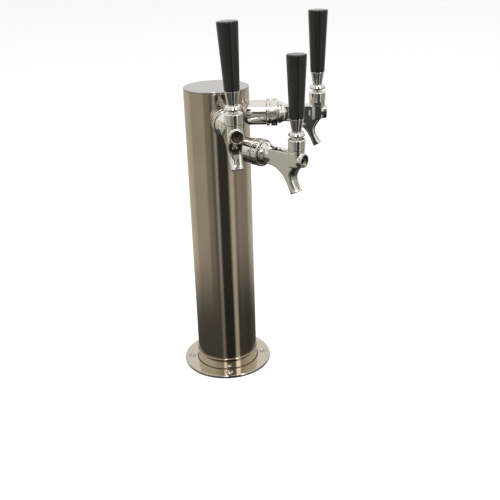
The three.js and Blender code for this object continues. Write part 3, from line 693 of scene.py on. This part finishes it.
def coupling_mesh():
    start, thread, lip = COUPLING_START, THREAD_RADIUS + GAP, TAIL_SHOULDER + GAP
    mesh = turned("coupling_nut", [
        (thread, start), (COUPLING_RADIUS, start, 0.8), (COUPLING_RADIUS, COUPLING_END, 1.2),
        (COUPLING_LIP, COUPLING_END, 0.3), (COUPLING_LIP, lip), (thread, lip)])
    return carved(mesh, spanner_holes(COUPLING_RADIUS, (start + COUPLING_END) / 2))


# ---------------------------------------------------------------- faucet body

# The body is one casting, so it is drawn as a distance field: flat sides, blended joints and
# round edges. Distances are in millimetres, and negative inside.

REAR_EDGE = [(PLATE_START, -9.0), (88.8, -10.6), (95.9, -13.9), (102.2, -19.4), (107.7, -28.2),
             (112.0, -38.8), (114.4, -45)]
NOSE_LINE = [(125.5, -40), (121.9, -35.5), (119.2, -32.9), (116.8, -28.8), (115.0, -24.4),
             (114.3, -19.9), (115.4, -15.8), (118.6, -10.8), (121.6, -6), (122.4, 0)]
TAIL_TIP = 84.5
# The tail's swell, as (radius, station).
TAIL = [(12.1, 71.1), (13.1, 72.2), (13.2, 73.2), (12.4, 74.8), (11.1, 76.6), (9.8, 78.6),
        (8.6, 81.2), (7.6, TAIL_TIP)]
PASSAGE = [(100.5, -2), (104.8, -11), (108.8, -19.5), (110.9, -26.5), (113.5, -31.9),
           (117, -37.5), (119.2, -42.1)]
PASSAGE_RADIUS = 4.2
PLATE_TOP, PLATE_HALF, BODY_TOP = 8, 8, 11.2
SPOUT_TAPER = {"from": -12, "length": 26, "narrowing": 1.25}
SPOUT_TIP = ((117.15, -37.6), (0.43, -0.903))  # a point of the cut end, and its direction
FAR = 60  # well outside the casting
UPRIGHT = {"radius": 9.05, "bottom": -7, "edge": 0.4}
SPIGOT = {"outer": 6.9, "inner": 5.9, "floor": 13, "top": 15.5}
# Radii of the rounded edges, and widths of the blended joints.
EDGES = {"nose": 4.5, "rear": 1.5, "top": 0.9, "tip": 1.1, "boss": 0.5}
BLENDS = {"tail": 3.0, "upright": 1.2, "boss": 1.6}
# The valve chamber, the seat's hole and the plunger's bore, as (radius, start, end, edge).
BORES = [(7, 60, 86, 0.2), (4.6, 85, 90, 0.2), (VALVE_BORE, 89.5, 140, 0.3)]
# The lever's slot, in two steps from the plunger's bore up, as (rear, low, high) behind its axis.
SLOT_STEPS = [(6.6, 4, 9.5), (5, 9, 13.5)]
SLOT_FRONT, SLOT_HALF = 2.6, 2.8


def line_distance(x, z, line):
    """Distance to an open line in the XZ plane."""
    best = np.inf
    for (ax, az), (bx, bz) in zip(line, line[1:]):
        dx, dz = bx - ax, bz - az
        share = np.clip(((x - ax) * dx + (z - az) * dz) / (dx * dx + dz * dz), 0, 1)
        best = np.minimum(best, np.hypot(x - ax - share * dx, z - az - share * dz))
    return best


def outline_distance(x, z, outline):
    """Signed distance to a closed outline in the XZ plane."""
    inside = np.zeros(np.broadcast(x, z).shape, bool)
    for (ax, az), (bx, bz) in zip(outline, [*outline[1:], outline[0]]):
        if az != bz:
            crossing = ax + (z - az) * (bx - ax) / (bz - az)
            inside ^= ((z >= az) != (z >= bz)) & (x < crossing)
    distance = line_distance(x, z, [*outline, outline[0]])
    return np.where(inside, -distance, distance)


def meet(a, b, radius):
    """The part inside both, with its edge rounded."""
    corner = np.hypot(np.maximum(a + radius, 0), np.maximum(b + radius, 0))
    return np.minimum(np.maximum(a, b), -radius) + corner


def join(a, b, width):
    """The part inside either, with a fillet between them."""
    share = np.clip(0.5 + 0.5 * (b - a) / width, 0, 1)
    return b + (a - b) * share - width * share * (1 - share)


def upright(x, y, z, radius, low, high, edge):
    """A round post about the lever's axis."""
    side = np.hypot(x - LEVER_AXIS, y) - radius
    return meet(side, np.maximum(low - z, z - high), edge)


def level(x, y, z, radius, low, high, edge):
    """A round bar about the shank's axis."""
    side = np.hypot(y, z) - radius
    return meet(side, np.maximum(low - x, x - high), edge)


def block(x, y, z, low, high):
    return np.maximum.reduce(np.broadcast_arrays(low[0] - x, x - high[0], low[1] - y, y - high[1],
                                                 low[2] - z, z - high[2]))


def plate_field(x, y, z):
    """The flat-sided plate that runs from the tail down into the spout."""
    far_out, far_in = 150, 50
    rear = outline_distance(x, z, [*curve(REAR_EDGE), (far_out, -FAR), (far_out, FAR),
                                   (PLATE_START, FAR)])
    nose = outline_distance(x, z, [*curve(NOSE_LINE), (NOSE_LINE[-1][0], FAR), (far_in, FAR),
                                   (far_in, -FAR), (NOSE_LINE[0][0], -FAR)])
    taper = np.clip((SPOUT_TAPER["from"] - z) / SPOUT_TAPER["length"], 0, 1)
    side = np.abs(y) - (PLATE_HALF - SPOUT_TAPER["narrowing"] * taper)
    plate = meet(nose, side, EDGES["nose"])
    plate = meet(plate, rear, EDGES["rear"])
    plate = meet(plate, z - PLATE_TOP, EDGES["top"])
    (tip_x, tip_z), (run, drop) = SPOUT_TIP
    tip = (x - tip_x) * run + (z - tip_z) * drop
    return meet(plate, tip, EDGES["tip"])


def tail_field(x, y, z):
    """The round tail that the coupling nut holds."""
    below = -20
    profile = [(0, TAIL_START), (TAIL_RADIUS, TAIL_START), (TAIL_RADIUS, TAIL_SHOULDER),
               (TAIL_NECK, TAIL_SHOULDER), *curve(TAIL, 5), (0, TAIL_TIP)]
    shape = [(station, radius) for radius, station in profile]
    return outline_distance(x, np.hypot(y, z), [*shape, (TAIL_TIP, below), (TAIL_START, below)])


def body_field(x, y, z):
    casting = join(plate_field(x, y, z), tail_field(x, y, z), BLENDS["tail"])
    radius, bottom, edge = UPRIGHT.values()
    post = meet(upright(x, y, z, radius, bottom, BODY_TOP, edge), np.abs(y) - PLATE_HALF, edge)
    casting = join(casting, post, BLENDS["upright"])
    boss = level(x, y, z, BOSS_RADIUS, BOSS_START, BOSS_END, EDGES["boss"])
    casting = join(casting, boss, BLENDS["boss"])
    casting = np.minimum(casting, upright(x, y, z, SPIGOT["outer"], 0, SPIGOT["top"], 0.3))
    hollows = [level(x, y, z, *bore) for bore in BORES]
    hollows.append(upright(x, y, z, SPIGOT["inner"], SPIGOT["floor"], FAR / 2, 0.2))
    for back, low, high in SLOT_STEPS:
        hollows.append(block(x, y, z, (LEVER_AXIS - back, -SLOT_HALF, low),
                             (LEVER_AXIS + SLOT_FRONT, SLOT_HALF, high)))
    hollows.append(np.hypot(line_distance(x, z, curve(PASSAGE, 3)), y) - PASSAGE_RADIUS)
    for hollow in hollows:
        casting = np.maximum(casting, -hollow)
    return casting


def surface_net(field, low, pitch):
    """The zero surface of a field sampled on a grid, as points and quads."""
    cells = np.array(field.shape) - 1
    total = np.zeros((*cells, 3))
    count = np.zeros(cells)
    inside = field < 0
    crossings = []
    for axis in range(3):
        near = [slice(None)] * 3
        near[axis] = slice(None, -1)
        far = [slice(None)] * 3
        far[axis] = slice(1, None)
        near, far = tuple(near), tuple(far)
        crossed = inside[near] != inside[far]
        gap = np.where(crossed, field[near] - field[far], 1)
        share = np.where(crossed, field[near] / gap, 0)
        u, v = (axis + 1) % 3, (axis + 2) % 3
        for step_u in (0, 1):
            for step_v in (0, 1):
                window = [slice(None)] * 3
                window[u] = slice(step_u, step_u + cells[u])
                window[v] = slice(step_v, step_v + cells[v])
                window = tuple(window)
                total[..., axis] += share[window]
                total[..., u] += step_u * crossed[window]
                total[..., v] += step_v * crossed[window]
                count += crossed[window]
        crossings.append((crossed, inside[near], u, v))
    used = np.argwhere(count > 0)
    number = np.full(cells, -1)
    number[tuple(used.T)] = np.arange(len(used))
    points = low + pitch * (used + total[tuple(used.T)] / count[tuple(used.T)][:, None])
    quads = []
    for crossed, outward, u, v in crossings:
        edges = np.argwhere(crossed)
        edges = edges[(edges[:, u] > 0) & (edges[:, v] > 0)
                      & (edges[:, u] < cells[u]) & (edges[:, v] < cells[v])]
        corners = []
        for step_u, step_v in ((-1, -1), (0, -1), (0, 0), (-1, 0)):
            cell = edges.copy()
            cell[:, u] += step_u
            cell[:, v] += step_v
            corners.append(number[tuple(cell.T)])
        quad = np.stack(corners, 1)
        flip = ~outward[tuple(edges.T)]
        quad[flip] = quad[flip][:, ::-1]
        quads.append(quad)
    return points, np.concatenate(quads)


def settle(points, field, rounds=4, reach=0.25, probe=0.02):
    """Moves points on to the field's zero surface."""
    for _ in range(rounds):
        x, y, z = points.T
        value = field(x, y, z)
        slope = np.stack([field(x + probe, y, z) - field(x - probe, y, z),
                          field(x, y + probe, z) - field(x, y - probe, z),
                          field(x, y, z + probe) - field(x, y, z - probe)], 1) / (2 * probe)
        steep = np.maximum((slope ** 2).sum(1), 0.2)
        step = -slope * (value / steep)[:, None]
        length = np.linalg.norm(step, axis=1, keepdims=True)
        points = points + step * np.minimum(1, reach / np.maximum(length, 1e-9))
    return points


def body_mesh(pitch=0.4, margin=1):
    """The casting's surface, from a grid of points pitch apart."""
    half_width, bottom, top = 14.5, -42.0, 17.0
    low = np.array([TAIL_START - margin, -half_width, bottom])
    high = np.array([BOSS_END + margin, half_width, top])
    x, y, z = (np.arange(a, b, pitch) for a, b in zip(low, high))
    grid = body_field(x[:, None, None], y[None, :, None], z[None, None, :])
    points, quads = surface_net(grid, low, pitch)
    points = settle(points, body_field)
    return make_mesh("faucet_body", points * MM, quads.tolist())


# ---------------------------------------------------------------- lever stack

PIVOT, BALL, NECK = 17.5, 5.2, 3
FINGER, FINGERTIP = 1.8, 2.2
STUD = {"radius": 4.4, "bottom": 26.7, "top": 42.1}
BONNET = {"foot": 9.35, "radius": 9.8, "crown": 8.7, "shoulder": 22.3, "top": 23.2}
BONNET_BORE = {"radius": 7.2, "roof": 20.6, "hole": 4.8, "mouth": 5.6}
COLLAR = {"radius": 9.35, "base": 7.7, "skirt": 25.8, "waist": 26.9, "band": 28, "top": 31.3}
COLLAR_BORE = {"radius": 4.7, "recess": 26.6}
FERRULE = {"bottom": 31.6, "top": 45.5, "low": 5.3, "high": 7.75, "plug": 4.3, "depth": 10.5}
HANDLE = {"bottom": 45.8, "top": 113, "low": 8, "high": 11}


def arc(radius, centre, start, end, steps=14):
    """Points on a circle's outline between two angles, as [radius, height]."""
    return [(radius * math.cos(a), centre + radius * math.sin(a))
            for a in np.linspace(start, end, steps)]


def lever_mesh():
    """Finger, ball, neck and stud."""
    fingertip = arc(FINGERTIP, 0, -math.pi / 2, math.acos(FINGER / FINGERTIP))[1:]
    ball = arc(BALL, PIVOT, -math.acos(FINGER / BALL), math.acos(NECK / BALL), 20)
    return turned("lever", [(0, -FINGERTIP), *fingertip, *ball, (NECK, STUD["bottom"]),
                            (STUD["radius"], STUD["bottom"]), (STUD["radius"], STUD["top"], 0.5),
                            (0, STUD["top"])], segments=64)


def bonnet_mesh():
    """The ring nut over the ball. Its hole widens upward, to let the lever tilt."""
    bottom = BODY_TOP + GAP
    foot, radius, crown, shoulder, top = BONNET.values()
    inner, roof, hole, mouth = BONNET_BORE.values()
    return turned("bonnet", [
        (inner, bottom), (foot, bottom, 0.5), (radius, shoulder, 0.4), (crown, top, 0.4),
        (mouth, top, 0.3), (hole, roof, 0.2), (inner, roof)])


def collar_mesh():
    """The domed collar on the lever. It narrows downward, and is hollow to clear the bonnet."""
    radius, base, skirt, waist, band, top = COLLAR.values()
    bore, recess = COLLAR_BORE.values()
    neck = FERRULE["low"] + GAP
    lip, step = 0.4, 0.3
    dome = [(neck + (radius - lip - neck) * math.cos(a), band + step + (top - band - step)
             * math.sin(a)) for a in np.linspace(0.15, math.pi / 2, 12)]
    return turned("lever_collar", [
        (bore, recess), (base - 1, recess), (base - 1, skirt, 0.15), (base, skirt, 0.35),
        (radius, waist, 0.6), (radius, band, 0.3), *dome, (bore, top)])


def ferrule_mesh():
    low, high, bottom, top = (FERRULE[key] for key in ("low", "high", "bottom", "top"))
    plug_top = top + FERRULE["depth"]
    return turned("ferrule", [
        (0, STUD["top"] + GAP), (COLLAR_BORE["radius"], STUD["top"] + GAP),
        (COLLAR_BORE["radius"], bottom),
        (low, bottom, 0.25), (high, top - 0.7, 0.4), (high, top, 0.2), (FERRULE["plug"], top),
        (FERRULE["plug"], plug_top, 0.5), (0, plug_top)])


def handle_mesh():
    """The black handle: a long cone, wider at the top, with a rounded rim."""
    bore = FERRULE["plug"] + GAP
    bore_top = FERRULE["top"] + FERRULE["depth"] + GAP
    low, high, bottom, top = (HANDLE[key] for key in ("low", "high", "bottom", "top"))
    swell = [(low + (high - low) * t, bottom + (top - bottom) * t)
             for t in np.linspace(0.05, 0.95, 12)]
    return turned("handle", [
        (0, bore_top), (bore, bore_top), (bore, bottom), (low, bottom, 0.6), *swell,
        (high, top, 1.5), (0, top)], 0.3, 160)


# ---------------------------------------------------------------- inner pieces

PLUNGER = {"start": 80, "head": 83.2, "land": 110, "end": 124.6, "stem": 3, "radius": 5.8}
PLUNGER_HOLLOW = {"radius": 3.2, "depth": 5}
PLUNGER_SLOT = {"half": 2.6, "floor": -3, "relief_floor": 1.2, "relief_front": 4.7, "clear": 9}
SEAT_WASHER = {"inner": 3.3, "outer": 6.2, "start": 83.5, "end": 85.7}
COUPLING_GASKET = {"inner": 8.5, "outer": 13.1}


def plunger_mesh():
    """The plunger, with the slot for the lever's finger cut in from above."""
    start, head, land, end, stem, radius = PLUNGER.values()
    hollow, depth = PLUNGER_HOLLOW.values()
    mesh = turned("faucet_shaft", [
        (0, start), (radius - 1, start), (radius - 0.5, start + 0.5, 0.1), (radius - 0.5, head),
        (stem, head), (stem, land), (radius, land, 0.3), (radius, end, 0.6),
        (hollow, end, 0.4), (hollow, end - depth), (0, end - depth)], segments=64)
    half, floor, relief_floor, relief_front, clear = PLUNGER_SLOT.values()
    slot = box_mesh((LEVER_AXIS - half, -clear, floor), (LEVER_AXIS + half, clear, clear))
    relief = box_mesh((LEVER_AXIS - half, -clear, relief_floor),
                      (LEVER_AXIS + relief_front, clear, clear))
    return carved(mesh, [moved(cutter, ALONG_X.inverted()) for cutter in (slot, relief)])


def ring_mesh(name, inner, outer, low, high, edge=0.15):
    return turned(name, [(inner, low), (outer, low), (outer, high), (inner, high)], edge, 64)


def saddle_washer_mesh():
    """A washer whose outer end is bent to meet the column's inner wall."""
    inner = TOWER["radius"] - TOWER["wall"] - GAP
    beyond = 60
    outline = [(STEM_RADIUS + GAP, SADDLE_START, 0), (SLEEVE_RADIUS, SADDLE_START, 0),
               (SLEEVE_RADIUS, beyond, 0), (STEM_RADIUS + GAP, beyond, 0)]

    def height(r, z, angle):
        return z if z < inner else math.sqrt(inner ** 2 - (r * math.sin(angle)) ** 2)

    return turned("saddle_washer", outline, bend=height)


def shank_nut_mesh():
    """A hexagon nut: a chamfered blank cut by six flats."""
    sides, reach, depth, over = 6, 20, 9, 2
    inward, along = NUT_CHAMFER
    bore, start, end = STEM_RADIUS + GAP, NUT_START, NUT_END
    flat = COLLAR_RADIUS * math.cos(math.pi / sides)
    blank = turned("shank_nut", [
        (bore, start), (COLLAR_RADIUS - inward, start), (COLLAR_RADIUS, start + along),
        (COLLAR_RADIUS, end - along), (COLLAR_RADIUS - inward, end), (bore, end)], 0.1, 96)
    cutters = []
    for i in range(sides):
        cutter = box_mesh((flat, -reach, start - over), (flat + depth, reach, end + over))
        spin = Matrix.Rotation(math.pi / 6 + math.pi * i / 3, 4, "Z")
        cutters.append(moved(cutter, spin))
    return carved(blank, cutters)


# ---------------------------------------------------------------- assembly

# The nodes inside each tap that stay the CAD's own, and their looks.
KEPT_NODES = [("tail_elbow", "fastener_steel"), ("ball_seat", "washer_nylon"),
              ("ball_washer", "washer_nylon")]


def tap_pieces():
    """(node, mesh, slot, body, group) for one tap. The taps share most of the meshes."""
    gasket = ring_mesh("coupling_gasket", *COUPLING_GASKET.values(), THREAD_END + GAP,
                       TAIL_START - GAP)
    return [
        ("shank_sleeve", sleeve_mesh(), "chrome_plate", "tower", "shank"),
        ("shank", shank_mesh(), "chrome_plate", "tower", "shank"),
        ("coupling_nut", coupling_mesh(), "chrome_plate", "tower", "shank"),
        ("saddle_washer", saddle_washer_mesh(), "fastener_steel", "tower", "shank"),
        ("shank_nut", shank_nut_mesh(), "shaft_brass", "tower", "shank"),
        ("coupling_gasket", gasket, "gasket_rubber", "tower", "shank"),
        ("faucet_body", body_mesh(), "chrome_plate", "tower", "casting"),
        ("faucet_shaft", plunger_mesh(), "shaft_brass", "plunger", "valve"),
        ("seat_washer", ring_mesh("seat_washer", *SEAT_WASHER.values()), "gasket_rubber",
         "plunger", "valve"),
        ("bonnet", bonnet_mesh(), "chrome_plate", "tower", "upright"),
        ("lever", lever_mesh(), "chrome_plate", "lever", "upright"),
        ("lever_collar", collar_mesh(), "chrome_plate", "lever", "upright"),
        ("ferrule", ferrule_mesh(), "chrome_plate", "lever", "upright"),
        ("handle", handle_mesh(), "handle_plastic", "lever", "upright"),
    ]


def tap_places(side):
    """Where each group of one tap's pieces goes. The faucet may be rolled about its shank, which
    shows in its lever's hinge. Upright pieces are round, so they aren't turned with their tap."""
    shank = TAP_FRAMES[side]
    hinge = next(joint for joint in frame["joints"] if joint["name"] == f"{side}_lever_tilt")
    roll = math.asin(hinge["axis"][2])
    faucet = shank @ Matrix.Rotation(roll, 4, "X")
    unturned = shank.to_3x3().inverted().to_4x4()
    upright = faucet @ Matrix.Translation((LEVER_AXIS * MM, 0, 0)) @ unturned
    return {"shank": shank @ ALONG_X, "casting": faucet, "valve": faucet @ ALONG_X,
            "upright": upright}


def add_taps():
    """Puts the shared meshes at each tap. The casting's mesh is copied and moved instead, so that
    its box stays as tight as the CAD's."""
    parts = tap_pieces()
    for side in SIDES:
        places = tap_places(side)
        for node, mesh, slot, body, group in parts:
            rides = body if body == "tower" else f"{side}_{body}"
            place = places[group]
            if group == "casting":
                mesh = moved(mesh.copy(), place)
                place = Matrix.Identity(4)
            add_piece(f"{node}_{side}", mesh, slot, rides, place)
        for node, slot in KEPT_NODES:
            shown = frame["nodes"][f"{node}_{side}"]
            shown.data.materials.clear()
            shown.data.materials.append(LOOKS[slot])


add_base()
add_screws()
add_column()
add_taps()
